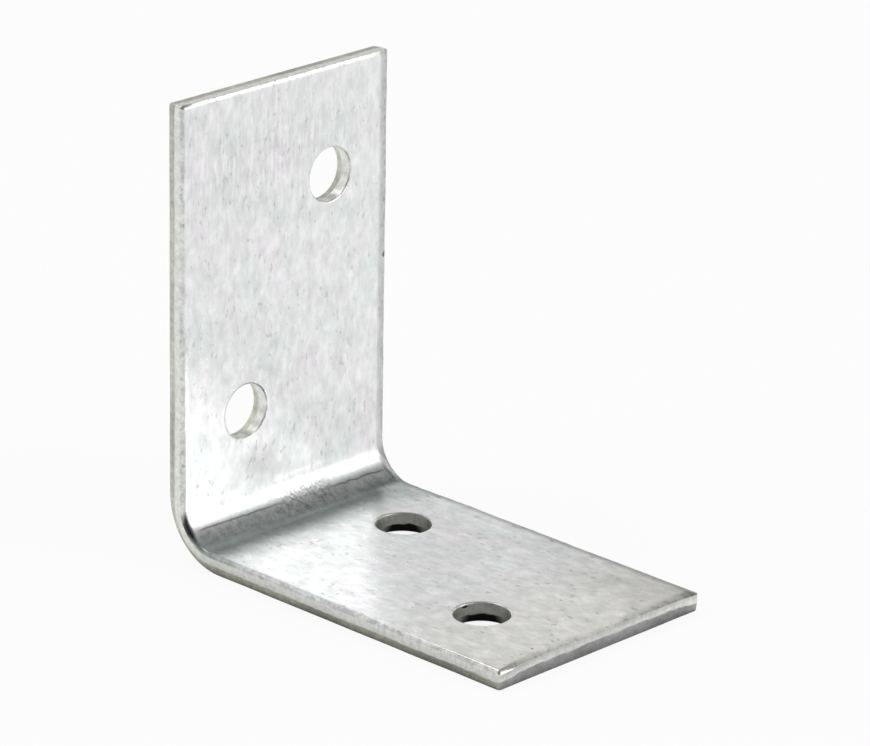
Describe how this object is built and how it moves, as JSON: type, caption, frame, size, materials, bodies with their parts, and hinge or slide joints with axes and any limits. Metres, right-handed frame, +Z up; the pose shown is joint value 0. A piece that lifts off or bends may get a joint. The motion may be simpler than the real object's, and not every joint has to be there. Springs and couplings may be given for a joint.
{
  "type": "angle bracket",
  "caption": "L-shaped angle bracket folded from galvanised steel strip, with staggered screw holes in both legs, for joining two members at a right angle.",
  "frame": {"origin": "middle of the footprint, on the floor under the base leg", "axes": "+X along the base leg away from the upright, +Y across the strip, +Z up along the upright"},
  "size_m": [0.0486, 0.03, 0.0505],
  "materials": {
    "galvanised_steel": "sendzimir galvanised, satin, with bare sheared edges"
  },
  "bodies": {
    "root": {"bracket": "galvanised_steel"}
  },
  "joints": []
}
